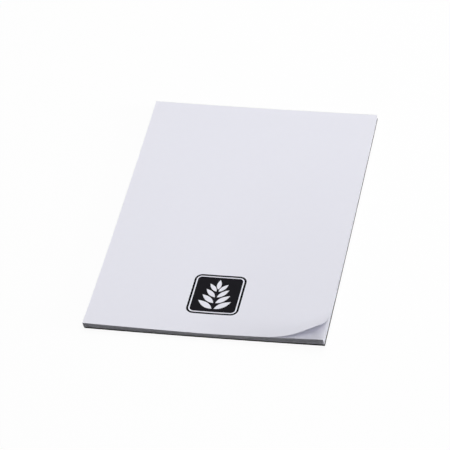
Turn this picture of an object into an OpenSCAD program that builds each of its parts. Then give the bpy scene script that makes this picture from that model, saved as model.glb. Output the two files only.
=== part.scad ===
// A5 writing pad: loose sheets glued along the head on a grey board,
// with the front right corner of the top sheet curling up.
// The pad lies flat. The glued head is at +Y, the free foot at -Y.

/* [Sheets] */
// Width of a sheet, across the pad
pad_w = 148; // [90:1:220]
// Length of a sheet, from the glued head to the free foot
pad_l = 210; // [140:1:300]
// Thickness of one sheet
sheet_t = 0.1; // [0.08:0.01:0.2]
// Sheets in the pad, the top one included
sheet_count = 25; // [10:1:60]

/* [Backing board] */
// Thickness of the grey board under the sheets
board_t = 0.8; // [0.5:0.1:2]

/* [Glued head] */
// Greatest thickness of the glue film over the head
glue_t = 0.25; // [0.15:0.05:0.6]
// Thickness of the glue film along its upper and lower edges
glue_edge_t = 0.1; // [0.05:0.05:0.15]
// Swell of the sheets where the glue has soaked in between them
head_swell = 0.5; // [0.2:0.1:1.5]
// Length from the head over which the swell dies away
swell_l = 24; // [12:1:40]

/* [Loose foot] */
// Rise of the loose sheets at the front left corner
left_rise = 0.85; // [0.3:0.05:2.5]
// Power by which the left side rises from the middle of the pad
left_power = 1.1; // [1.1:0.1:3]
// Rise of the loose sheets at the front right corner
right_rise = 1.9; // [0.3:0.1:4]
// Power by which the right side rises from the middle of the pad
right_power = 1.5; // [1.1:0.1:3]

/* [Curled corner] */
// Length of the foot edge that lifts, measured from the corner
curl_foot = 39.5; // [20:0.5:45]
// Length of the right edge that lifts, measured from the corner
curl_side = 24; // [12:0.5:40]
// Slope of the paper at the tip of the corner
curl_angle = 46; // [10:1:80]
// Depth of the rolled band behind the fold line, past which the corner is straight
curl_roll = 14; // [6:0.5:30]

/* [Facets] */
// Facet size along the foot and the right edge of the curled corner
curl_facet = 2.4; // [1.2:0.1:6]
// Facet size across the rest of the pad
wide_facet = 9.5; // [4:0.5:30]
// Facet size along the swell at the head
swell_facet = 4; // [2:0.5:12]
// Facets over the height of the glue film
glue_facets = 12; // [4:1:30]

/* [Hidden] */

half_w = pad_w / 2;
foot_y = -(pad_l + glue_t) / 2;
head_y = foot_y + pad_l;

block_t = (sheet_count - 1) * sheet_t;
head_t = board_t + block_t + sheet_t + head_swell;

// The fold line runs from the foot edge to the right edge, square to fold_out
foot_end = [half_w - curl_foot, foot_y];
side_end = [half_w, foot_y + curl_side];
fold_dir = (side_end - foot_end) / norm(side_end - foot_end);
fold_out = [fold_dir.y, -fold_dir.x];
roll_radius = curl_roll * 180 / (PI * curl_angle);

paper_colour = [0.89, 0.88, 0.92];
edge_colour = [0.80, 0.79, 0.83];
board_colour = [0.42, 0.41, 0.42];
glue_colour = [0.94, 0.93, 0.90];

// Grid lines

function steps(from, to, facet) =
    let (n = max(1, ceil((to - from) / facet)))
    [for (i = [0:n - 1]) from + (to - from) * i / n];

lines_x = concat(
    steps(-half_w, 0, wide_facet),
    steps(0, foot_end.x, wide_facet),
    steps(foot_end.x, half_w, curl_facet),
    [half_w]
);
// Between the curl and the swell the sheets lie straight along the pad
lines_y = concat(
    steps(foot_y, side_end.y, curl_facet),
    [side_end.y],
    steps(head_y - swell_l, head_y, swell_facet),
    [head_y]
);

// Height of the stack

// How loose the sheets are: 0 in the glue at the head, 1 at the foot
function looseness(y) = (head_y - y) / pad_l;

// Fade of the swell: 1 at the head, 0 at swell_l from it
function swell_share(y) =
    let (t = max(0, 1 - (head_y - y) / swell_l))
    t * t * (3 - 2 * t);

function side_rise(x) =
    x < 0
        ? left_rise * pow(-x / half_w, left_power)
        : right_rise * pow(x / half_w, right_power);

// Top of the sheets under the top one
function block_top(x, y) =
    board_t + block_t + looseness(y) * side_rise(x) + swell_share(y) * head_swell;

// Curl of the corner

// Distance past the fold line, towards the corner
function past_fold(x, y) = ([x, y] - foot_end) * fold_out;

// Slope of the paper at a distance past the fold line
function roll_slope(s) = curl_angle * min(max(s, 0), curl_roll) / curl_roll;

// Reach along fold_out and lift of the paper at a distance past the fold line
function rolled(s) =
    let (
        slope = roll_slope(s),
        straight = max(0, s - curl_roll)
    )
    s <= 0
        ? [s, 0]
        : [
            roll_radius * sin(slope) + straight * cos(slope),
            roll_radius * (1 - cos(slope)) + straight * sin(slope)
        ];

// Place of a point of the flat sheet after the corner has curled,
// at a height above the underside of the paper
function curled(x, y, above) =
    let (
        s = past_fold(x, y),
        slope = roll_slope(s),
        place = rolled(s),
        shift = fold_out * (place[0] - s - above * sin(slope))
    )
    [
        x + shift.x,
        y + shift.y,
        block_top(x, y) + place[1] + above * cos(slope)
    ];

// Solids between two grids of points

function flat_list(rows) = [for (row = rows) each row];

// Outline of a grid as point numbers, counterclockwise from above
function rim(rows, cols) = concat(
    [for (c = [0:cols - 2]) c],
    [for (r = [0:rows - 2]) r * cols + cols - 1],
    [for (c = [cols - 1:-1:1]) (rows - 1) * cols + c],
    [for (r = [rows - 1:-1:1]) r * cols]
);

// Two triangles for each cell of a grid, facing up
function cell_faces(rows, cols, first) = [
    for (r = [0:rows - 2], c = [0:cols - 2])
        let (
            a = first + r * cols + c,
            b = a + cols
        )
        each [[a, b, b + 1], [a, b + 1, a + 1]]
];

function turned(faces) = [for (face = faces) [face[2], face[1], face[0]]];

// With plain_base, the underside is a fan of triangles around its middle,
// for an underside that lies in one plane
module between(lower, upper, plain_base) {
    rows = len(lower);
    cols = len(lower[0]);
    count = rows * cols;
    edge = rim(rows, cols);
    pairs = [for (k = [0:len(edge) - 1]) [edge[k], edge[(k + 1) % len(edge)]]];
    middle = (lower[0][0] + lower[rows - 1][cols - 1]) / 2;
    top = cell_faces(rows, cols, count);
    base = plain_base
        ? [for (p = pairs) [2 * count, p[0], p[1]]]
        : turned(cell_faces(rows, cols, 0));
    walls = [
        for (p = pairs)
            each [[p[0] + count, p[1] + count, p[1]], [p[0] + count, p[1], p[0]]]
    ];
    polyhedron(
        concat(flat_list(lower), flat_list(upper), [middle]),
        concat(top, base, walls)
    );
}

// Pieces

module backing_board() {
    color(board_colour)
        translate([-half_w, foot_y, 0])
            cube([pad_w, pad_l, board_t]);
}

module sheet_block() {
    base = [for (y = lines_y) [for (x = lines_x) [x, y, board_t]]];
    top = [for (y = lines_y) [for (x = lines_x) [x, y, block_top(x, y)]]];
    color(edge_colour)
        between(base, top, true);
}

module top_sheet() {
    underside = [for (y = lines_y) [for (x = lines_x) curled(x, y, 0)]];
    face = [for (y = lines_y) [for (x = lines_x) curled(x, y, sheet_t)]];
    color(paper_colour)
        between(underside, face, false);
}

// The film is thickest at its middle and thins out towards both edges
module head_glue() {
    outside = [
        for (i = [0:glue_facets])
            let (share = i / glue_facets)
            [glue_edge_t + (glue_t - glue_edge_t) * sin(180 * share), head_t * share]
    ];
    color(glue_colour)
        translate([0, head_y, 0])
            rotate([90, 0, 90])
                linear_extrude(height = pad_w, center = true)
                    polygon(concat([[0, head_t], [0, 0]], outside));
}

backing_board();
sheet_block();
top_sheet();
head_glue();
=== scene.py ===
"""Dresses the solids of a glued writing pad: its sheets, curled corner, print, board and glue."""

import math

import bmesh
import bpy
from bpy.props import FloatProperty, FloatVectorProperty, IntProperty, PointerProperty
from bpy.types import Operator, Panel, PropertyGroup
from mathutils import Matrix, Vector, noise


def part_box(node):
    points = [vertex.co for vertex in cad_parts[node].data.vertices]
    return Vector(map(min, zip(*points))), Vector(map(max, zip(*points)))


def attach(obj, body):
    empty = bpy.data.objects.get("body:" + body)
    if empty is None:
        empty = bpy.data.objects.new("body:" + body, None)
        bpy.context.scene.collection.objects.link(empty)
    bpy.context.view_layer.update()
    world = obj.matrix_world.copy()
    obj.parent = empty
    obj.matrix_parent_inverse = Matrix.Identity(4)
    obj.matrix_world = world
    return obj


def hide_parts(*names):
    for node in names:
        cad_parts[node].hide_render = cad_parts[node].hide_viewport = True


bl_info = {
    "name": "Writing Pad",
    "version": (1, 0, 0),
    "blender": (4, 5, 0),
    "location": "3D View > Sidebar > Writing Pad",
    "description": "Builds the sheets, print, board and glue of a small writing pad",
    "category": "Object",
}

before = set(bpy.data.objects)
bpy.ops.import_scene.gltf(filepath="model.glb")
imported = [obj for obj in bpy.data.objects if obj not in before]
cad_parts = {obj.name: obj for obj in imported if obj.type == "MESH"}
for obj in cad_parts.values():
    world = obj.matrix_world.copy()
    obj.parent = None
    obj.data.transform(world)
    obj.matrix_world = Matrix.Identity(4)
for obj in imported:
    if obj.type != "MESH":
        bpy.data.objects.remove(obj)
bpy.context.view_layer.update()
BODY = "root"

BOARD_LOW, BOARD_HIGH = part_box("backing_board")
BLOCK_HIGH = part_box("sheet_block")[1]
GLUE_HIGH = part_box("head_glue")[1]

HALF_WIDTH = BOARD_HIGH.x
FOOT_Y = BOARD_LOW.y
HEAD_Y = BOARD_HIGH.y
MIDDLE_Y = (FOOT_Y + HEAD_Y) / 2
HALF_LENGTH = (HEAD_Y - FOOT_Y) / 2
BOARD_TOP = BOARD_HIGH.z
SHEET_COUNT = 25
SHEET_T = 0.0001
BLOCK_T = (SHEET_COUNT - 1) * SHEET_T

# Edges that turn by more than these angles stay sharp
SHEET_CREASE = math.radians(40)
SLAB_CREASE = math.radians(60)


# Settings


def number(name, description, default):
    """A setting that is a plain number."""
    return FloatProperty(name=name, description=description, default=default)


def metres(name, description, default):
    """A setting that is a length."""
    return FloatProperty(name=name, description=description, default=default, unit="LENGTH")


def degrees(name, description, default):
    """A setting that is an angle."""
    return FloatProperty(name=name, description=description, default=math.radians(default), subtype="ANGLE")


def linear_colour(name, description, default):
    """A setting that is a colour."""
    return FloatVectorProperty(name=name, description=description, default=default, size=3, subtype="COLOR")


class StackSettings(PropertyGroup):
    """The stack of sheets, loose at the foot and glued at the head."""

    sheet_count: IntProperty(
        name="Sheets", description="Sheets in the pad, the top one included", default=SHEET_COUNT, min=2
    )
    sheet_t: metres("Sheet thickness", "Thickness of one sheet", SHEET_T)
    air: FloatProperty(
        name="Air", description="Share of a sheet's pitch that is air, even where the stack is pressed",
        default=0.06, subtype="FACTOR"
    )
    top_air: metres("Air under the top sheet", "Gap between the top sheet and the one under it", 0.00002)
    left_rise: metres("Left rise", "Rise of the loose sheets at the front left corner", 0.00085)
    left_power: number("Left power", "Power by which the left side rises from the middle", 1.1)
    right_rise: metres(
        "Right rise", "Rise of the loose sheets at the front right corner",
        BLOCK_HIGH.z - BOARD_TOP - BLOCK_T
    )
    right_power: number("Right power", "Power by which the right side rises from the middle", 1.5)
    head_swell: metres(
        "Head swell", "Swell of the sheets where glue has soaked in between them",
        GLUE_HIGH.z - BOARD_TOP - BLOCK_T - SHEET_T
    )
    swell_length: metres("Swell length", "Length from the head over which the swell dies away", 0.024)
    bow_across: metres("Bow across", "Lift of the pad's side edges over its middle", 0.00055)
    bow_along: metres("Bow along", "Lift of the pad's head and foot over its middle", 0.00085)
    twist: metres("Twist", "Lift of two opposite corners over the other two", -0.0003)
    slip_head: metres(
        "Slip at the head", "How far the sheets lie to the left on the board at the head", 0.00002
    )
    slip_foot: metres("Slip at the foot", "How much further to the left they lie at the foot", 0.00062)
    set_back: metres("Set back", "How far the sheets' foot lies behind the board's front edge", 0.0002)
    bunching: number("Bunching", "How unevenly the air lies between the sheets", 3.0)
    drift: metres("Drift", "How far a sheet may lie out of line with its neighbours", 0.00022)
    seed: IntProperty(name="Seed", description="Seed of the sheets' small differences", default=7)


class CurlSettings(PropertyGroup):
    """The curled front right corner of the top sheet."""

    foot: metres("Along the foot", "Length of the foot edge that lifts", 0.0365)
    side: metres("Along the side", "Length of the right edge that lifts", 0.0253)
    angle: degrees("Slope", "Slope of the paper at the tip", 43.2)
    roll: metres("Roll", "Depth of the rolled band, past which the corner is straight", 0.0143)
    cockle: metres("Cockle", "Height of the top sheet's soft waves", 0.00012)


class PrintSettings(PropertyGroup):
    """The mark printed near the foot of the top sheet."""

    place: FloatVectorProperty(
        name="Place", description="Middle of the mark on the sheet", size=2,
        default=(0.0019, FOOT_Y + 0.0341), subtype="XYZ"
    )
    width: metres("Width", "Width of the mark", 0.0325)
    height: metres("Height", "Height of the mark", 0.0346)
    corner: metres("Corner", "Radius of the mark's corners", 0.0048)
    rim: metres("Rim", "Width of the dark line outside the light line", 0.0013)
    keyline: metres("Light line", "Width of the light line inside the rim", 0.00085)
    leaf_pairs: IntProperty(name="Leaf pairs", description="Pairs of leaves on the sprig", default=4)
    leaf_length: metres("Leaf length", "Length of the sprig's largest leaf", 0.0118)
    ink_t: metres("Ink", "Thickness of the ink film", 0.000012)


class BoardSettings(PropertyGroup):
    """The grey board under the sheets and the glue over the head."""

    shift: metres("Shift", "How far the board lies to the right under the sheets", 0.0002)
    edge_crush: metres("Edge crush", "How far the blade has rounded the board's edges", 0.00014)
    edge_wander: metres("Edge wander", "How far the cut edge wanders", 0.00005)
    glue_edge: metres("Glue edge", "Thickness of the glue along its edges", 0.0001)
    glue_ripple: metres("Glue ripple", "Height of the brush marks in the glue", 0.00005)


class FinishSettings(PropertyGroup):
    """Colours of the pad, as linear values."""

    paper: linear_colour("Paper", "Face of the sheets", (0.87, 0.87, 0.945))
    paper_edge: linear_colour("Cut edge", "Cut edges of the sheets", (0.88, 0.88, 0.94))
    ink: linear_colour("Ink", "Printing ink", (0.0105, 0.0100, 0.0130))
    board: linear_colour("Board", "Faces of the grey board", (0.055, 0.054, 0.056))
    # The cut edges are a third of the board's face colour. A little of that is their own darker tone; most
    # is painted shade that deepens the dark line along the board's edges.
    board_edge_and_shade: linear_colour("Board edge", "Cut edges of the grey board", (0.018, 0.0175, 0.0185))
    glue: linear_colour("Glue", "Dried padding glue", (0.87, 0.86, 0.82))


class StageSettings(PropertyGroup):
    """Camera, lamps and floor."""

    lens: number("Lens", "Focal length in millimetres", 205.65)
    distance: metres("Distance", "From the camera to its target", 1.6178)
    azimuth: degrees("Azimuth", "Turn of the camera to the right of the foot", 15.567)
    elevation: degrees("Elevation", "Height of the camera above the table", 42.158)
    roll: degrees("Roll", "Tilt of the camera about its own axis", -6.657)
    target: FloatVectorProperty(
        name="Target", description="Point on the table that the camera looks at", size=3,
        default=(-0.00648, -0.00438, 0.0), subtype="XYZ"
    )
    rear_level: number("Rear lamp", "Brightness of white paper that faces the rear lamp", 0.325)
    rear_distance: metres("Rear distance", "From the rear lamp to the pad", 0.85)
    rear_size: metres("Rear size", "Side of the rear lamp", 0.42)
    rear_way: FloatVectorProperty(
        name="Way to the rear lamp", description="Direction of the rear lamp", size=3,
        default=(0.08, 0.38, 0.92)
    )
    key_level: number("Key lamp", "Brightness of white paper that faces the key lamp", 0.315)
    key_distance: metres("Key distance", "From the key lamp to the pad", 3.0)
    key_size: metres("Key size", "Side of the key lamp", 1.2)
    key_way: FloatVectorProperty(
        name="Way to the key lamp", description="Direction of the key lamp", size=3,
        default=(0.35, -0.29, 0.89)
    )
    side_level: number("Side lamp", "Brightness of white paper that faces the side lamp", 0.72)
    side_distance: metres("Side distance", "From the side lamp to the pad", 3.0)
    side_size: metres("Side size", "Side of the side lamp", 0.75)
    side_way: FloatVectorProperty(
        name="Way to the side lamp", description="Direction of the side lamp", size=3,
        default=(0.985, 0.0, 0.14)
    )
    sky_level: number("Sky", "Brightness of the soft light from above, behind and the sides", 0.38)
    fade_from: number("Fade from", "Up to where the sky is dark, from -1 in front to 1 behind", -0.5)
    fade_to: number("Fade to", "From where on the sky has its full brightness", 0.1)
    floor_grey: FloatProperty(
        name="Floor", description="How much light the floor throws back", default=0.07, subtype="FACTOR"
    )
    floor_glow: number("Floor white", "What is added so that the floor looks white", 0.93)


class PadSettings(PropertyGroup):
    """All settings of the pad."""

    stack: PointerProperty(type=StackSettings)
    curl: PointerProperty(type=CurlSettings)
    mark: PointerProperty(type=PrintSettings)
    board: PointerProperty(type=BoardSettings)
    finish: PointerProperty(type=FinishSettings)
    stage: PointerProperty(type=StageSettings)


# Node trees


VALUE = "NodeSocketFloat"
WHOLE = "NodeSocketInt"
PLACE = "NodeSocketVector"
COLOUR = "NodeSocketColor"
SHAPE = "NodeSocketGeometry"
MATERIAL = "NodeSocketMaterial"


class Term:
    """A value in a node tree. Plus, minus, times and the like add Math nodes to the tree."""

    def __init__(self, build, socket):
        self.build = build
        self.socket = socket

    def __add__(self, other):
        return self.build.maths("ADD", self, other)

    def __sub__(self, other):
        return self.build.maths("SUBTRACT", self, other)

    def __rsub__(self, other):
        return self.build.maths("SUBTRACT", other, self)

    def __mul__(self, other):
        return self.build.maths("MULTIPLY", self, other)

    def __truediv__(self, other):
        return self.build.maths("DIVIDE", self, other)

    def __pow__(self, other):
        return self.build.maths("POWER", self, other)

    def __neg__(self):
        return self * -1.0

    __radd__ = __add__
    __rmul__ = __mul__


class TreeBuilder:
    """Adds nodes to a tree, and sets or links their inputs."""

    step_x = 190

    def __init__(self, tree):
        self.tree = tree

    def feed(self, socket, value):
        """Links a socket to a term or an output, or gives it a plain value."""
        if isinstance(value, Term):
            value = value.socket
        if isinstance(value, bpy.types.NodeSocket):
            self.tree.links.new(value, socket)
        else:
            socket.default_value = value

    def fill(self, node, inputs):
        """Feeds several inputs of a node. Keys are socket names or numbers."""
        for key, value in inputs.items():
            self.feed(node.inputs[key], value)

    def add(self, kind, inputs=None, **settings):
        """A new node with its settings and inputs."""
        node = self.tree.nodes.new(kind)
        node.location = (self.step_x * len(self.tree.nodes), 0)
        for key, value in settings.items():
            setattr(node, key, value)
        self.fill(node, inputs or {})
        return node

    def made(self, kind, inputs=None, **settings):
        """The first output of a new node, as a term."""
        return Term(self, self.add(kind, inputs, **settings).outputs[0])

    def live(self, node):
        """The output that is in use on a node with outputs for many kinds of data, as a term."""
        return Term(self, next(socket for socket in node.outputs if socket.enabled))

    def maths(self, operation, *values):
        """The result of one Math node."""
        return self.made("ShaderNodeMath", dict(enumerate(values)), operation=operation)

    def vector(self, x=0.0, y=0.0, z=0.0):
        """A vector made of three values."""
        return self.made("ShaderNodeCombineXYZ", {"X": x, "Y": y, "Z": z})

    def parts(self, vector):
        """The three values of a vector."""
        return [Term(self, socket) for socket in self.add("ShaderNodeSeparateXYZ", {0: vector}).outputs]

    def smooth(self, value, low, high):
        """A soft change from 0 to 1 as the value goes from low to high."""
        limits = {"Value": value, "From Min": low, "From Max": high}
        return self.made("ShaderNodeMapRange", limits, interpolation_type="SMOOTHSTEP")

    def random(self, low, high, seed):
        """A random value for each element."""
        node = self.add("FunctionNodeRandomValue", {"Seed": seed}, data_type="FLOAT")
        limits = [socket for socket in node.inputs if socket.enabled][:2]
        self.feed(limits[0], low)
        self.feed(limits[1], high)
        return self.live(node)

    def waves(self, place, scale, detail=2.0, roughness=0.5):
        """A Noise texture's value over a place."""
        inputs = {"Vector": place, "Scale": scale, "Detail": detail, "Roughness": roughness}
        return self.made("ShaderNodeTexNoise", inputs)

    def mapped(self, place, **changes):
        """A place changed by a Mapping node's Location, Rotation or Scale."""
        return self.made("ShaderNodeMapping", {"Vector": place, **changes})

    def coordinate(self, kind):
        """One of the outputs of Texture Coordinate."""
        return Term(self, self.add("ShaderNodeTexCoord").outputs[kind])

    def shaded(self, colour, level):
        """A colour times a level."""
        factors = {0: colour, 1: self.vector(level, level, level)}
        return self.made("ShaderNodeVectorMath", factors, operation="MULTIPLY")

    def joined(self, shapes):
        """One geometry made of several."""
        join = self.add("GeometryNodeJoinGeometry")
        for shape in shapes:
            self.feed(join.inputs[0], shape)
        return Term(self, join.outputs[0])


def new_group(name, kind, inputs, outputs):
    """A node group with named sockets. inputs gives each its default or its socket type, outputs the type.
    Returns the group's builder, its inputs as terms and the node that takes its outputs."""
    kinds = {float: VALUE, int: WHOLE, tuple: COLOUR}
    group = bpy.data.node_groups.new(name, kind)
    for label, value in inputs.items():
        if isinstance(value, str):
            group.interface.new_socket(label, in_out="INPUT", socket_type=value)
        else:
            socket = group.interface.new_socket(label, in_out="INPUT", socket_type=kinds[type(value)])
            socket.default_value = value
    for label, socket_type in outputs.items():
        group.interface.new_socket(label, in_out="OUTPUT", socket_type=socket_type)
    build = TreeBuilder(group)
    given = {socket.name: Term(build, socket) for socket in build.add("NodeGroupInput").outputs}
    return build, given, build.add("NodeGroupOutput")


def use_group(build, group, inputs):
    """Places a node group in a tree and feeds it. Returns its outputs as terms by name."""
    kind = "ShaderNodeGroup" if group.bl_idname == "ShaderNodeTree" else "GeometryNodeGroup"
    node = build.add(kind)
    node.node_tree = group
    build.fill(node, inputs)
    return {socket.name: Term(build, socket) for socket in node.outputs}


def pad_group(name, maker, *arguments):
    """A node group by name, made once."""
    return bpy.data.node_groups.get(name) or maker(*arguments)


# Shape of the stack


def stack_sizes(stack):
    """Named sizes that each tree of the pad takes, with their values."""
    sizes = {"Half Width": HALF_WIDTH, "Foot": FOOT_Y, "Head": HEAD_Y}
    for setting in (
        "left_rise", "left_power", "right_rise", "right_power", "head_swell", "swell_length",
        "bow_across", "bow_along", "twist", "slip_head", "slip_foot", "set_back",
    ):
        sizes[setting.replace("_", " ").title()] = getattr(stack, setting)
    return sizes


def top_sizes(pad):
    """Named sizes of the top sheet, which the print on it takes too."""
    stack = pad.stack
    return {
        **stack_sizes(stack),
        "Sheet Thickness": stack.sheet_t,
        "Stack Top": BOARD_TOP + (stack.sheet_count - 1) * stack.sheet_t + stack.top_air,
        "Cockle": pad.curl.cockle,
    }


def rise_group(stack):
    """How far a sheet lies above its place in a flat and pressed stack, and its slip over the board."""
    inputs = {**stack_sizes(stack), "Loose Share": 1.0, "Swell Share": 1.0}
    outputs = {"Rise": VALUE, "Slip": PLACE}
    build, given, result = new_group("Stack Rise", "GeometryNodeTree", inputs, outputs)
    x, y, _ = build.parts(build.made("GeometryNodeInputPosition"))
    from_head = given["Head"] - y
    looseness = from_head / (given["Head"] - given["Foot"])
    across = x / given["Half Width"]
    along = 1.0 - looseness * 2.0

    left = given["Left Rise"] * build.maths("MAXIMUM", -across, 0.0) ** given["Left Power"]
    right = given["Right Rise"] * build.maths("MAXIMUM", across, 0.0) ** given["Right Power"]
    loose = (left + right) * looseness * given["Loose Share"]
    swell = build.smooth(from_head, given["Swell Length"], 0.0) * given["Head Swell"] * given["Swell Share"]
    bow = across * across * given["Bow Across"] + along * along * given["Bow Along"]
    twist = across * along * given["Twist"]
    build.feed(result.inputs["Rise"], loose + swell + bow + twist)

    # The slip grows steeply towards the foot, and the lowest sheets have this share of it
    lowest_share = 0.3
    steepness = 5.0
    slip = looseness**steepness * given["Slip Foot"] + given["Slip Head"]
    share = given["Swell Share"] * (1.0 - lowest_share) + lowest_share
    build.feed(result.inputs["Slip"], build.vector(-slip * share, looseness * given["Set Back"]))
    return build.tree


def stack_rise(build, given, stack, shares=None):
    """Rise and slip of the stack over a tree's mesh."""
    sizes = {name: given[name] for name in stack_sizes(stack)}
    outputs = use_group(build, pad_group("Stack Rise", rise_group, stack), {**sizes, **(shares or {})})
    slip_x, slip_y, _ = build.parts(outputs["Slip"])
    return outputs["Rise"], slip_x, slip_y


def cockle_group():
    """Soft waves in the top sheet, none at the glued head and never below the sheet under it."""
    inputs = {"Foot": FOOT_Y, "Head": HEAD_Y, "Cockle": 0.0001}
    build, given, result = new_group("Sheet Cockle", "GeometryNodeTree", inputs, {"Lift": VALUE})
    x, y, _ = build.parts(build.made("GeometryNodeInputPosition"))
    stretched_y = y * 0.5
    wave = build.waves(build.vector(x, stretched_y), scale=26.0, detail=1.0)
    freedom = build.smooth(y, given["Head"], given["Foot"])
    build.feed(result.inputs["Lift"], wave * freedom * given["Cockle"])
    return build.tree


def sheet_cockle(build, given):
    """Lift of the top sheet's soft waves over a tree's mesh."""
    inputs = {name: given[name] for name in ("Foot", "Head", "Cockle")}
    return use_group(build, pad_group("Sheet Cockle", cockle_group), inputs)["Lift"]


# Geometry trees


def shape_tree(name, values):
    """A geometry tree for a modifier, with named values and a material."""
    inputs = {"Geometry": SHAPE, **values, "Material": MATERIAL}
    return new_group(name, "GeometryNodeTree", inputs, {"Geometry": SHAPE})


def finish_tree(build, given, result, shape):
    """Ends a geometry tree: instances made real, then the material."""
    real = build.made("GeometryNodeRealizeInstances", {0: shape})
    painted = build.made("GeometryNodeSetMaterial", {"Geometry": real, "Material": given["Material"]})
    build.feed(result.inputs[0], painted)
    return build.tree


def flat_sheet(build, given, thickness):
    """A thin closed sheet with a grid of points, its middle at the origin."""
    inputs = {
        "Size": build.vector(given["Half Width"] * 2.0, given["Head"] - given["Foot"], thickness),
        "Vertices X": given["Points Across"],
        "Vertices Y": given["Points Along"],
        "Vertices Z": 2,
    }
    return build.made("GeometryNodeMeshCube", inputs)


def loose_sheets_tree(values, stack):
    """All sheets under the top one, each a thin closed leaf with its own lift, drift and share of air."""
    build, given, result = shape_tree("Loose Sheets", values)
    leaf_t = given["Sheet Thickness"] * (1.0 - given["Air"])
    leaf = flat_sheet(build, given, leaf_t)
    line = {"Count": given["Leaves"], "Offset": (0.0, 0.0, 0.0)}
    points = build.made("GeometryNodeMeshLine", line, mode="OFFSET")

    # Gaps of uneven size between the leaves, and the share of all gaps that lies below each leaf
    least_gap = 0.1
    gap = build.random(least_gap, 1.0, given["Seed"]) ** given["Bunching"]
    gaps = build.add("GeometryNodeAccumulateField", {"Value": gap}, data_type="FLOAT").outputs
    leaf_number = build.made("GeometryNodeInputIndex")
    level = (leaf_number + 1.0) / given["Leaves"]
    drift_x = build.waves(build.vector(level), scale=5.0, detail=3.0)
    drift_y = build.waves(build.vector(5.0, level), scale=7.0, detail=4.0)
    stored = {
        "leaf_number": leaf_number,
        "loose_share": build.maths("DIVIDE", gaps["Leading"], gaps["Total"]),
        "swell_share": level,
        "drift_x": (drift_x - 0.5) * given["Drift"],
        "drift_y": (drift_y - 0.5) * given["Drift"],
    }
    for name, value in stored.items():
        inputs = {"Geometry": points, "Name": name, "Value": value}
        points = build.made("GeometryNodeStoreNamedAttribute", inputs, data_type="FLOAT", domain="POINT")
    leaves = build.made("GeometryNodeInstanceOnPoints", {"Points": points, "Instance": leaf})
    leaves = build.made("GeometryNodeRealizeInstances", {0: leaves})
    own = {
        name: build.live(build.add("GeometryNodeInputNamedAttribute", {"Name": name}, data_type="FLOAT"))
        for name in stored
    }

    shares = {"Loose Share": own["loose_share"], "Swell Share": own["swell_share"]}
    rise, slip_x, slip_y = stack_rise(build, given, stack, shares)
    _, y, _ = build.parts(build.made("GeometryNodeInputPosition"))
    freedom = build.smooth(y, given["Head"], given["Foot"])
    middle_y = (given["Head"] + given["Foot"]) * 0.5
    offset = build.vector(
        own["drift_x"] * freedom + slip_x,
        own["drift_y"] * freedom + slip_y + middle_y,
        own["leaf_number"] * given["Sheet Thickness"] + given["Board Top"] + leaf_t * 0.5 + rise,
    )
    moved = build.made("GeometryNodeSetPosition", {"Geometry": leaves, "Offset": offset})
    return finish_tree(build, given, result, moved)


def top_sheet_tree(values, stack):
    """The top sheet, lying on the stack up to its fold line and rolled up past it."""
    build, given, result = shape_tree("Top Sheet", values)
    middle_y = (given["Head"] + given["Foot"]) * 0.5
    sheet = flat_sheet(build, given, given["Sheet Thickness"])
    sheet = build.made(
        "GeometryNodeTransform", {"Geometry": sheet, "Translation": build.vector(0.0, middle_y)}
    )
    x, y, z = build.parts(build.made("GeometryNodeInputPosition"))
    above = given["Sheet Thickness"] * 0.5 + z

    # The fold line runs from the foot edge to the right edge, square to (out_x, out_y)
    along_foot = given["Foot Lift"]
    along_side = given["Side Lift"]
    fold_length = build.maths("SQRT", along_foot * along_foot + along_side * along_side)
    out_x = along_side / fold_length
    out_y = -along_foot / fold_length
    past = (x - (given["Half Width"] - along_foot)) * out_x + (y - given["Foot"]) * out_y

    # How far the paper reaches and lifts, at that distance past the fold line
    rolled = build.maths("MINIMUM", build.maths("MAXIMUM", past, 0.0), given["Roll"])
    straight = build.maths("MAXIMUM", past - given["Roll"], 0.0)
    slope = rolled / given["Roll"] * given["Slope"]
    radius = given["Roll"] / given["Slope"]
    sine = build.maths("SINE", slope)
    cosine = build.maths("COSINE", slope)
    reach = radius * sine + straight * cosine + build.maths("MINIMUM", past, 0.0)
    lift = radius * (1.0 - cosine) + straight * sine
    pull = reach - past - above * sine

    rise, slip_x, slip_y = stack_rise(build, given, stack)
    place = build.vector(
        x + out_x * pull + slip_x,
        y + out_y * pull + slip_y,
        given["Stack Top"] + rise + sheet_cockle(build, given) + lift + above * cosine,
    )
    curled = build.made("GeometryNodeSetPosition", {"Geometry": sheet, "Position": place})
    return finish_tree(build, given, result, curled)


def rounded_square(build, given, inset):
    """The mark's outline, drawn in by an inset."""
    sides = {"Width": given["Width"] - inset * 2.0, "Height": given["Height"] - inset * 2.0}
    outline = build.made("GeometryNodeCurvePrimitiveQuadrilateral", sides, mode="RECTANGLE")
    corner = {"Curve": outline, "Count": 10, "Radius": given["Corner"] - inset}
    return build.made("GeometryNodeFilletCurve", corner, mode="POLY")


def leaf_outline(build, given, share):
    """A leaf with two pointed ends, from its stalk at the origin along +X, at a share of the full length."""
    length = given["Leaf Length"] * share
    widest_at = 0.42
    bulge = 0.34
    edges = []
    for side in (1.0, -1.0):
        edge = {
            "Resolution": 8,
            "Start": (0.0, 0.0, 0.0),
            "Middle": build.vector(length * widest_at, length * (bulge * side)),
            "End": build.vector(length),
        }
        edges.append(build.made("GeometryNodeCurveQuadraticBezier", edge))
    wire = build.made("GeometryNodeCurveToMesh", {"Curve": build.joined(edges)})
    closed = build.made("GeometryNodeMergeByDistance", {"Geometry": wire, "Distance": 0.00001})
    return build.made("GeometryNodeMeshToCurve", {"Mesh": closed})


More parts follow.
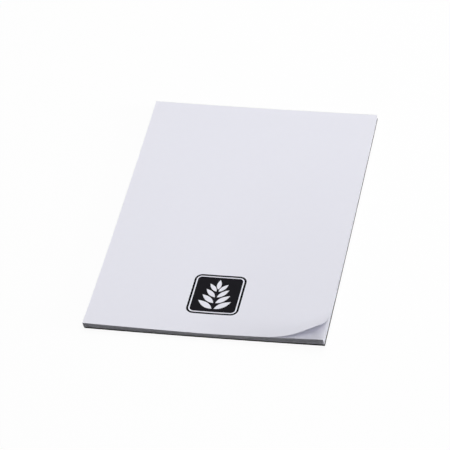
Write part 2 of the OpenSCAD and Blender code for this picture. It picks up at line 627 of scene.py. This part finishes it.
def sprig_outlines(build, given):
    """Leaves in pairs along a straight stem, pointing up and outwards, and one at its top."""
    stem_foot = given["Height"] * -0.36
    stem_top = given["Height"] * 0.08
    gap = given["Light Line"] * 0.75
    size_lost = 0.30
    lowest_turn = 0.62
    turn_gained = 0.30
    crown_size = 0.72
    crown_foot = gap * 3.0 + stem_top
    ends = {
        "Count": given["Leaf Pairs"],
        "Start Location": build.vector(0.0, stem_foot),
        "Offset": build.vector(0.0, stem_top),
    }
    stem = build.made("GeometryNodeMeshLine", ends, mode="END_POINTS")
    last = build.maths("MAXIMUM", given["Leaf Pairs"] - 1.0, 1.0)
    up_share = build.made("GeometryNodeInputIndex") / last
    size = 1.0 - up_share * size_lost
    turn = up_share * turn_gained + lowest_turn
    outlines = []
    for way, start in ((1.0, 0.0), (-1.0, math.pi)):
        beside = {"Geometry": stem, "Offset": build.vector(gap * way)}
        leaves = {
            "Points": build.made("GeometryNodeSetPosition", beside),
            "Instance": leaf_outline(build, given, 1.0),
            "Rotation": build.vector(0.0, 0.0, turn * way + start),
            "Scale": size,
        }
        side = build.made("GeometryNodeInstanceOnPoints", leaves)
        outlines.append(build.made("GeometryNodeRealizeInstances", {0: side}))
    crown = {
        "Geometry": leaf_outline(build, given, crown_size),
        "Translation": build.vector(0.0, crown_foot),
        "Rotation": (0.0, 0.0, math.pi / 2),
    }
    return outlines + [build.made("GeometryNodeTransform", crown)]


def printed_mark_tree(values, stack):
    """A rounded square with a light line and a leaf sprig left open, as a film of ink on the sheet."""
    build, given, result = shape_tree("Printed Mark", values)

    # Loops inside each other fill by turns: ink, light line, ink, leaves
    insets = (0.0, given["Rim"], given["Rim"] + given["Light Line"])
    loops = [rounded_square(build, given, inset) for inset in insets] + sprig_outlines(build, given)
    ink = build.made("GeometryNodeFillCurve", {"Curve": build.joined(loops)}, mode="TRIANGLES")
    ink = build.made("GeometryNodeSubdivideMesh", {"Mesh": ink, "Level": 2})
    middle = build.vector(given["Place X"], given["Place Y"])
    ink = build.made("GeometryNodeTransform", {"Geometry": ink, "Translation": middle})

    # The film lies just clear of the sheet, by half its own thickness
    rise, slip_x, slip_y = stack_rise(build, given, stack)
    height = given["Stack Top"] + given["Sheet Thickness"] + rise + sheet_cockle(build, given)
    offset = build.vector(slip_x, slip_y, height + given["Ink"] * 0.5)
    laid = build.made("GeometryNodeSetPosition", {"Geometry": ink, "Offset": offset})
    film = build.made(
        "GeometryNodeExtrudeMesh", {"Mesh": laid, "Offset Scale": given["Ink"], "Individual": False}
    )
    under = build.made("GeometryNodeFlipFaces", {"Mesh": laid})
    closed = build.joined([film, under])
    sealed = build.made("GeometryNodeMergeByDistance", {"Geometry": closed, "Distance": 0.000002})
    return finish_tree(build, given, result, sealed)


# Pieces


def placed(name, mesh, crease):
    """Links a mesh to the scene as an object, smooth but for its creases."""
    mesh.shade_smooth()
    mesh.set_sharp_from_angle(angle=crease)
    piece = bpy.data.objects.new(name, mesh)
    bpy.context.scene.collection.objects.link(piece)
    return piece


def grown(name, tree, values, material):
    """Runs a geometry tree on an empty mesh and keeps the result as a plain object at the origin."""
    host = bpy.data.objects.new(name + "_tree", bpy.data.meshes.new(name + "_tree"))
    bpy.context.scene.collection.objects.link(host)
    modifier = host.modifiers.new(tree.name, "NODES")
    modifier.node_group = tree
    sockets = {item.name: item.identifier for item in tree.interface.items_tree if item.in_out == "INPUT"}
    for label, value in {**values, "Material": material}.items():
        modifier[sockets[label]] = value
    result = host.evaluated_get(bpy.context.evaluated_depsgraph_get())
    mesh = bpy.data.meshes.new_from_object(result)
    bpy.data.objects.remove(host)
    mesh.name = name
    if not mesh.materials:
        mesh.materials.append(material)
    return placed(name, mesh, SHEET_CREASE)


def seated(piece, node):
    """Makes a piece ride on the pad and stand for its solid, whose CAD part it hides."""
    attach(piece, BODY)
    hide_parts(node)


def bow(stack, x, y):
    """How far the pad's slight bow lifts it over the table at a point."""
    across = x / HALF_WIDTH
    along = (y - MIDDLE_Y) / HALF_LENGTH
    return stack.bow_across * across**2 + stack.bow_along * along**2 + stack.twist * across * along


def as_mesh(name, built, material):
    """Turns a bmesh into a mesh with one material."""
    mesh = bpy.data.meshes.new(name)
    built.to_mesh(mesh)
    built.free()
    mesh.materials.append(material)
    return mesh


def slab(rings, cells_along, cells_across, place):
    """A closed slab from rings of its outline at rising heights, with a grid of cells over both faces.
    rings is a list of (height, inset), and place(u, v, height, inset) gives each point."""
    mesh = bmesh.new()
    columns = [-1.0 + 2.0 * i / cells_across for i in range(cells_across + 1)]
    rows = [-1.0 + 2.0 * i / cells_along for i in range(cells_along + 1)]
    outline = (
        [(u, -1.0) for u in columns[:-1]]
        + [(1.0, v) for v in rows[:-1]]
        + [(u, 1.0) for u in reversed(columns[1:])]
        + [(-1.0, v) for v in reversed(rows[1:])]
    )
    walls = [{spot: mesh.verts.new(place(*spot, *ring)) for spot in outline} for ring in rings]
    for lower, upper in zip(walls, walls[1:]):
        for here, after in zip(outline, outline[1:] + outline[:1]):
            mesh.faces.new((lower[here], lower[after], upper[after], upper[here]))
    for wall, ring, facing_up in ((walls[0], rings[0], False), (walls[-1], rings[-1], True)):
        grid = {
            (u, v): wall.get((u, v)) or mesh.verts.new(place(u, v, *ring)) for v in rows for u in columns
        }
        for low, high in zip(rows, rows[1:]):
            for left, right in zip(columns, columns[1:]):
                cell = [grid[left, low], grid[right, low], grid[right, high], grid[left, high]]
                mesh.faces.new(cell if facing_up else cell[::-1])
    return mesh


def board_mesh(board, stack, material):
    """The backing board: a slab whose cut edges are softened and wander a little."""
    crush = board.edge_crush
    bevel = crush * 0.35
    wander_scale = Vector((40, 55, 900))
    rings = [
        (0.0, crush), (bevel, bevel), (crush, 0.0),
        (BOARD_TOP - crush, 0.0), (BOARD_TOP - bevel, bevel), (BOARD_TOP, crush),
    ]

    def place(u, v, height, inset):
        """Where a point of the slab comes to lie. u and v run from -1 to 1 over the board."""
        wander = board.edge_wander * noise.noise(Vector((u, v, height)) * wander_scale)
        x = u * (HALF_WIDTH - inset + (wander if abs(u) == 1.0 else 0.0))
        y = MIDDLE_Y + v * (HALF_LENGTH - inset + (wander if abs(v) == 1.0 else 0.0))
        return Vector((x + board.shift, y, height + bow(stack, x, y)))

    built = slab(rings, cells_along=84, cells_across=60, place=place)
    return as_mesh("backing_board_dressed", built, material)


def glue_mesh(board, stack, material):
    """The glue film: flat against the head, with a bulged and brushed outer face."""
    columns = 150
    rows = 14
    height = GLUE_HIGH.z
    levels = [height * row / rows for row in range(rows + 1)]
    brush_scale = Vector((60, 1800, 1))
    brush_softness = 1.0
    layer_ratio = 2.0
    brush_layers = 3
    mesh = bmesh.new()

    def thickness(x, z):
        """Thickness of the film, most at half its height."""
        share = math.sin(math.pi * min(max(z / height, 0.0), 1.0))
        full = board.glue_edge + (GLUE_HIGH.y - HEAD_Y - board.glue_edge) * share
        spot = Vector((x, z, 3)) * brush_scale
        brush = noise.fractal(spot, brush_softness, layer_ratio, brush_layers)
        return full + board.glue_ripple * brush * share

    def outline(x):
        """The film's section at a place across the pad: up its outer face and down the head."""
        lift = bow(stack, x, HEAD_Y)
        outer = [(x, HEAD_Y + thickness(x, z), z + lift) for z in levels]
        inner = [(x, HEAD_Y, z + lift) for z in reversed(levels)]
        return [mesh.verts.new(point) for point in outer + inner]

    outlines = [outline(HALF_WIDTH * (2 * column / columns - 1)) for column in range(columns + 1)]
    for left, right in zip(outlines, outlines[1:]):
        for here in range(len(left)):
            mesh.faces.new((right[here - 1], left[here - 1], left[here], right[here]))
    for row in range(rows):
        for end, way in ((outlines[0], 1), (outlines[-1], -1)):
            mesh.faces.new((end[row], end[-1 - row], end[-2 - row], end[row + 1])[::way])
    return as_mesh("head_glue_dressed", mesh, material)


# Shader groups


def fibre_group():
    """Fine fibres and faint clouds of paper: a colour, a roughness and a height."""
    inputs = {"Colour": (0.8, 0.8, 0.8, 1.0), "Clouds": 0.01, "Fibres": 0.01, "Roughness": 0.85}
    outputs = {"Colour": COLOUR, "Roughness": VALUE, "Height": VALUE}
    build, given, result = new_group("Paper Fibres", "ShaderNodeTree", inputs, outputs)
    usual_felt = 0.62
    felt_height = 0.6
    roughness_spread = 0.12
    place = build.coordinate("Object")
    clouds = build.waves(place, scale=260.0, detail=4.0, roughness=0.6)

    def strands(turn, away):
        """Thin strands that run one way."""
        turned = build.mapped(place, Location=(away, away, 0.0), Rotation=(0.0, 0.0, turn))
        return build.waves(build.mapped(turned, Scale=(900.0, 9000.0, 9000.0)), scale=1.0)

    felt = strands(turn=0.35, away=0.0)
    for turn, away in ((-0.75, 3.1), (1.45, 7.3)):
        felt = build.maths("MAXIMUM", felt, strands(turn, away))
    tooth = build.waves(place, scale=7000.0)
    level = 1.0 + (clouds - 0.5) * given["Clouds"] + (felt - usual_felt) * given["Fibres"]
    build.fill(result, {
        "Colour": build.shaded(given["Colour"], level),
        "Roughness": (tooth - 0.5) * roughness_spread + given["Roughness"],
        "Height": felt * felt_height + tooth,
    })
    return build.tree


def cut_edge_group():
    """1 on the upright cut edges of a sheet or board, 0 on its faces."""
    build, _, result = new_group("Cut Edge", "ShaderNodeTree", {}, {"Edge": VALUE})
    _, _, upward = build.parts(build.coordinate("Normal"))
    steepest_face = 0.6
    edge = build.maths("LESS_THAN", build.maths("ABSOLUTE", upward), steepest_face)
    build.feed(result.inputs["Edge"], edge)
    return build.tree


def fleck_group():
    """Recycled board: dark and light flecks, soft mottling and the plies of its cut edge."""
    inputs = {
        "Colour": (0.2, 0.2, 0.2, 1.0),
        "Edge": 0.0,
        "Mottle": 0.34,
        "Dark Flecks": 0.38,
        "Light Flecks": 0.75,
        "Plies": 0.9,
    }
    outputs = {"Colour": COLOUR, "Height": VALUE}
    build, given, result = new_group("Board Flecks", "ShaderNodeTree", inputs, outputs)
    place = build.coordinate("Object")
    ply_height = 1.5
    mottle = build.waves(place, scale=420.0, detail=5.0, roughness=0.7)
    one_way = build.mapped(place, Rotation=(0.0, 0.0, 0.5), Scale=(1.0, 3.2, 3.2))
    dark = build.smooth(build.waves(one_way, scale=900.0, detail=3.0), 0.64, 0.70)
    other_way = build.mapped(place, Rotation=(0.0, 0.0, -0.9), Scale=(1.0, 3.6, 3.6))
    light = build.smooth(build.waves(other_way, scale=760.0, detail=3.0), 0.66, 0.73)
    plies = build.waves(build.mapped(place, Scale=(90.0, 90.0, 9000.0)), scale=1.0)
    plies = (plies - 0.5) * given["Edge"]
    spots = light * given["Light Flecks"] - dark * given["Dark Flecks"]
    level = 1.0 + (mottle - 0.5) * given["Mottle"] + spots + plies * given["Plies"]
    height = plies * ply_height + mottle
    build.fill(result, {"Colour": build.shaded(given["Colour"], level), "Height": height})
    return build.tree


# Materials


def new_material(name):
    """A material with a plain shader. Returns the material, its builder and its shader node."""
    material = bpy.data.materials.new(name)
    material.use_nodes = True
    build = TreeBuilder(material.node_tree)
    return material, build, material.node_tree.nodes["Principled BSDF"]


def bumped(build, height, depth):
    """A normal from a height, with the depth of the relief in metres."""
    return build.made("ShaderNodeBump", {"Height": height, "Distance": depth, "Strength": 1.0})


def opaque(colour):
    """A colour with full alpha."""
    return (*colour, 1.0)


def face_or_edge(build, face, edge):
    """A colour for faces and one for cut edges. Returns the colour and the mask of the edges."""
    mask = use_group(build, pad_group("Cut Edge", cut_edge_group), {})["Edge"]
    mix = build.add("ShaderNodeMix", {"Factor": mask}, data_type="RGBA")
    face_socket, edge_socket = [socket for socket in mix.inputs if socket.type == "RGBA"]
    build.feed(face_socket, opaque(face))
    build.feed(edge_socket, opaque(edge))
    return build.live(mix), mask


def fibrous(build, shader, look, depth, shine):
    """Gives a shader the colour, roughness and relief of paper fibres."""
    fibres = use_group(build, pad_group("Paper Fibres", fibre_group), look)
    build.fill(shader, {
        "Base Color": fibres["Colour"],
        "Roughness": fibres["Roughness"],
        "Normal": bumped(build, fibres["Height"], depth),
        "Specular IOR Level": shine,
    })


def paper_material(finish):
    """White uncoated paper, its cut edges a little apart from its face. All sheets share it."""
    if "pad_paper" in bpy.data.materials:
        return bpy.data.materials["pad_paper"]
    material, build, shader = new_material("pad_paper")
    colour, _ = face_or_edge(build, finish.paper, finish.paper_edge)
    look = {"Colour": colour, "Clouds": 0.018, "Fibres": 0.03, "Roughness": 0.88}
    fibrous(build, shader, look, depth=0.000006, shine=0.15)
    return material


def ink_material(finish):
    """Dark ink that has sunk a little into the paper."""
    material, build, shader = new_material("printing_ink")
    look = {"Colour": opaque(finish.ink), "Clouds": 0.35, "Fibres": 0.9, "Roughness": 0.85}
    fibrous(build, shader, look, depth=0.000005, shine=0.06)
    return material


def board_material(finish):
    """Grey recycled board with flecks, and plies in its cut edge, whose near-black colour is partly painted
    shade.
    """
    material, build, shader = new_material("grey_board")
    # The upright cut edges get the near-black edge colour: painted shade on top of their own darker tone.
    colour, mask = face_or_edge(build, finish.board, finish.board_edge_and_shade)
    flecks = use_group(build, pad_group("Board Flecks", fleck_group), {"Colour": colour, "Edge": mask})
    build.fill(shader, {
        "Base Color": flecks["Colour"],
        "Roughness": 0.92,
        "Normal": bumped(build, flecks["Height"], 0.00004),
        "Specular IOR Level": 0.05,
    })
    return material


def glue_material(finish):
    """Dried pale padding glue, smooth and a little glossy, brushed along the head."""
    material, build, shader = new_material("padding_glue")
    place = build.coordinate("Object")
    strokes = build.waves(build.mapped(place, Scale=(60.0, 900.0, 2600.0)), scale=1.0, detail=4.0)
    blots = build.waves(place, scale=140.0, detail=3.0)
    blot_depth = 0.22
    stroke_depth = 0.10
    least_roughness = 0.28
    roughness_spread = 0.25
    level = 1.0 + (blots - 0.5) * blot_depth + (strokes - 0.5) * stroke_depth
    build.fill(shader, {
        "Base Color": build.shaded(tuple(finish.glue), level),
        "Roughness": blots * roughness_spread + least_roughness,
        "Normal": bumped(build, strokes, 0.00005),
    })
    return material


# Stage


def set_camera(scene, stage):
    """Puts the camera at its distance from the target, turned and rolled as in the photograph."""
    turn, rise = stage.azimuth, stage.elevation
    ahead = Vector((-math.sin(turn) * math.cos(rise), math.cos(turn) * math.cos(rise), -math.sin(rise)))
    level_right = ahead.cross(Vector((0, 0, 1))).normalized()
    level_up = level_right.cross(ahead)
    right = math.cos(stage.roll) * level_right + math.sin(stage.roll) * level_up
    up = math.cos(stage.roll) * level_up - math.sin(stage.roll) * level_right
    camera = bpy.data.objects.new("camera", bpy.data.cameras.new("camera"))
    camera.data.sensor_width = 36.0
    camera.data.lens = stage.lens
    camera.data.clip_end = 50.0
    place = Vector(stage.target) - ahead * stage.distance
    camera.matrix_world = Matrix.Translation(place) @ Matrix((right, up, -ahead)).transposed().to_4x4()
    scene.collection.objects.link(camera)
    scene.camera = camera


def add_lamp(name, way, distance, level, size):
    """A square lamp that makes white paper facing it look as bright as the level says."""
    lamp = bpy.data.lights.new(name, "AREA")
    lamp.shape = "SQUARE"
    lamp.size = size
    lamp.energy = level * (math.pi * distance) ** 2
    towards = Vector(way).normalized()
    turn = towards.to_track_quat("Z", "Y").to_matrix().to_4x4()
    holder = bpy.data.objects.new(name, lamp)
    holder.matrix_world = Matrix.Translation(towards * distance) @ turn
    bpy.context.scene.collection.objects.link(holder)


def seen_directly(build):
    """1 for what the camera, a reflection or a clear piece sees, 0 for light that falls on things."""
    rays = build.add("ShaderNodeLightPath").outputs
    shown = build.maths("MAXIMUM", rays["Is Camera Ray"], rays["Is Glossy Ray"])
    return build.maths("MAXIMUM", shown, rays["Is Transmission Ray"])


def lay_floor(stage):
    """A wide floor that looks white and keeps the pad's shadow."""
    mesh = bpy.data.meshes.new("floor")
    reach = 6.0
    just_under_pad = -0.0001
    ways = ((-1, -1), (1, -1), (1, 1), (-1, 1))
    corners = [(x * reach, y * reach, just_under_pad) for x, y in ways]
    mesh.from_pydata(corners, [], [(0, 1, 2, 3)])
    floor = bpy.data.objects.new("floor", mesh)
    bpy.context.scene.collection.objects.link(floor)
    material, build, shader = new_material("pale_floor")
    grey = stage.floor_grey
    build.fill(shader, {"Base Color": (grey, grey, grey, 1.0), "Roughness": 1.0, "Specular IOR Level": 0.0})
    glow = build.made("ShaderNodeEmission", {"Strength": seen_directly(build) * stage.floor_glow})
    both = build.made("ShaderNodeAddShader", {0: shader.outputs[0], 1: glow})
    build.feed(material.node_tree.nodes["Material Output"].inputs["Surface"], both)
    mesh.materials.append(material)


def paint_sky(scene, stage):
    """White where it is seen, and a soft light on the pad that fades out towards the front."""
    world = bpy.data.worlds.new("sky")
    world.use_nodes = True
    scene.world = world
    build = TreeBuilder(world.node_tree)
    _, behind, _ = build.parts(build.coordinate("Generated"))
    light = build.smooth(behind, stage.fade_from, stage.fade_to) * stage.sky_level
    build.fill(world.node_tree.nodes["Background"], {
        "Color": (1.0, 1.0, 1.0, 1.0),
        "Strength": build.maths("MAXIMUM", seen_directly(build), light),
    })


# Operators


class WRITINGPAD_OT_stage(Operator):
    """Set the camera, the lamps, the floor and the sky"""

    bl_idname = "writingpad.stage"
    bl_label = "Stage"

    def execute(self, context):
        stage = context.scene.writing_pad.stage
        context.scene.view_settings.view_transform = "Standard"
        set_camera(context.scene, stage)
        add_lamp("rear_lamp", stage.rear_way, stage.rear_distance, stage.rear_level, stage.rear_size)
        add_lamp("key_lamp", stage.key_way, stage.key_distance, stage.key_level, stage.key_size)
        add_lamp("side_lamp", stage.side_way, stage.side_distance, stage.side_level, stage.side_size)
        lay_floor(stage)
        paint_sky(context.scene, stage)
        return {"FINISHED"}


class WRITINGPAD_OT_board_and_glue(Operator):
    """Build the backing board and the glue over the head"""

    bl_idname = "writingpad.board_and_glue"
    bl_label = "Board and Glue"

    def execute(self, context):
        pad = context.scene.writing_pad
        board = board_mesh(pad.board, pad.stack, board_material(pad.finish))
        seated(placed("backing_board_dressed", board, SLAB_CREASE), "backing_board")
        glue = glue_mesh(pad.board, pad.stack, glue_material(pad.finish))
        seated(placed("head_glue_dressed", glue, SLAB_CREASE), "head_glue")
        return {"FINISHED"}


class WRITINGPAD_OT_loose_sheets(Operator):
    """Build the sheets under the top one, glued at the head and loose at the foot"""

    bl_idname = "writingpad.loose_sheets"
    bl_label = "Loose Sheets"

    def execute(self, context):
        pad = context.scene.writing_pad
        stack = pad.stack
        values = {
            **stack_sizes(stack),
            "Leaves": stack.sheet_count - 1,
            "Sheet Thickness": stack.sheet_t,
            "Air": stack.air,
            "Board Top": BOARD_TOP,
            "Bunching": stack.bunching,
            "Drift": stack.drift,
            "Points Across": 32,
            "Points Along": 44,
            "Seed": stack.seed,
        }
        tree = loose_sheets_tree(values, stack)
        piece = grown("loose_sheets", tree, values, paper_material(pad.finish))
        seated(piece, "sheet_block")
        return {"FINISHED"}


class WRITINGPAD_OT_top_sheet(Operator):
    """Build the top sheet with its curled corner"""

    bl_idname = "writingpad.top_sheet"
    bl_label = "Top Sheet"

    def execute(self, context):
        pad = context.scene.writing_pad
        values = {
            **top_sizes(pad),
            "Foot Lift": pad.curl.foot,
            "Side Lift": pad.curl.side,
            "Slope": pad.curl.angle,
            "Roll": pad.curl.roll,
            "Points Across": 150,
            "Points Along": 212,
        }
        tree = top_sheet_tree(values, pad.stack)
        piece = grown("top_sheet_curled", tree, values, paper_material(pad.finish))
        seated(piece, "top_sheet")
        return {"FINISHED"}


class WRITINGPAD_OT_printed_mark(Operator):
    """Print the mark near the foot of the top sheet"""

    bl_idname = "writingpad.printed_mark"
    bl_label = "Printed Mark"

    def execute(self, context):
        pad = context.scene.writing_pad
        mark = pad.mark
        values = {
            **top_sizes(pad),
            "Place X": mark.place[0],
            "Place Y": mark.place[1],
            "Width": mark.width,
            "Height": mark.height,
            "Corner": mark.corner,
            "Rim": mark.rim,
            "Light Line": mark.keyline,
            "Leaf Pairs": mark.leaf_pairs,
            "Leaf Length": mark.leaf_length,
            "Ink": mark.ink_t,
        }
        tree = printed_mark_tree(values, pad.stack)
        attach(grown("printed_mark", tree, values, ink_material(pad.finish)), BODY)
        return {"FINISHED"}


# Panel and registration


class WRITINGPAD_PT_panel(Panel):
    """Lists the settings and the steps that build the pad"""

    bl_label = "Writing Pad"
    bl_idname = "WRITINGPAD_PT_panel"
    bl_space_type = "VIEW_3D"
    bl_region_type = "UI"
    bl_category = "Writing Pad"

    def draw(self, context):
        pad = context.scene.writing_pad
        for title, group in (
            ("Stack", pad.stack), ("Curl", pad.curl), ("Mark", pad.mark),
            ("Board and glue", pad.board), ("Colours", pad.finish), ("Stage", pad.stage),
        ):
            box = self.layout.box()
            box.label(text=title)
            for name in group.__annotations__:
                box.prop(group, name)
        for step in STEPS:
            self.layout.operator(step.bl_idname)


SETTINGS = (
    StackSettings, CurlSettings, PrintSettings, BoardSettings, FinishSettings, StageSettings, PadSettings,
)
STEPS = (
    WRITINGPAD_OT_stage,
    WRITINGPAD_OT_board_and_glue,
    WRITINGPAD_OT_loose_sheets,
    WRITINGPAD_OT_top_sheet,
    WRITINGPAD_OT_printed_mark,
)
CLASSES = SETTINGS + STEPS + (WRITINGPAD_PT_panel,)


def register():
    """Makes the settings, the steps and the panel known to Blender."""
    for cls in CLASSES:
        bpy.utils.register_class(cls)
    bpy.types.Scene.writing_pad = PointerProperty(type=PadSettings)


def unregister():
    """Takes them out again."""
    del bpy.types.Scene.writing_pad
    for cls in reversed(CLASSES):
        bpy.utils.unregister_class(cls)


def main():
    """Builds the pad step by step."""
    register()
    bpy.ops.writingpad.stage()
    bpy.ops.writingpad.board_and_glue()
    bpy.ops.writingpad.loose_sheets()
    bpy.ops.writingpad.top_sheet()
    bpy.ops.writingpad.printed_mark()


if __name__ == "__main__":
    main()
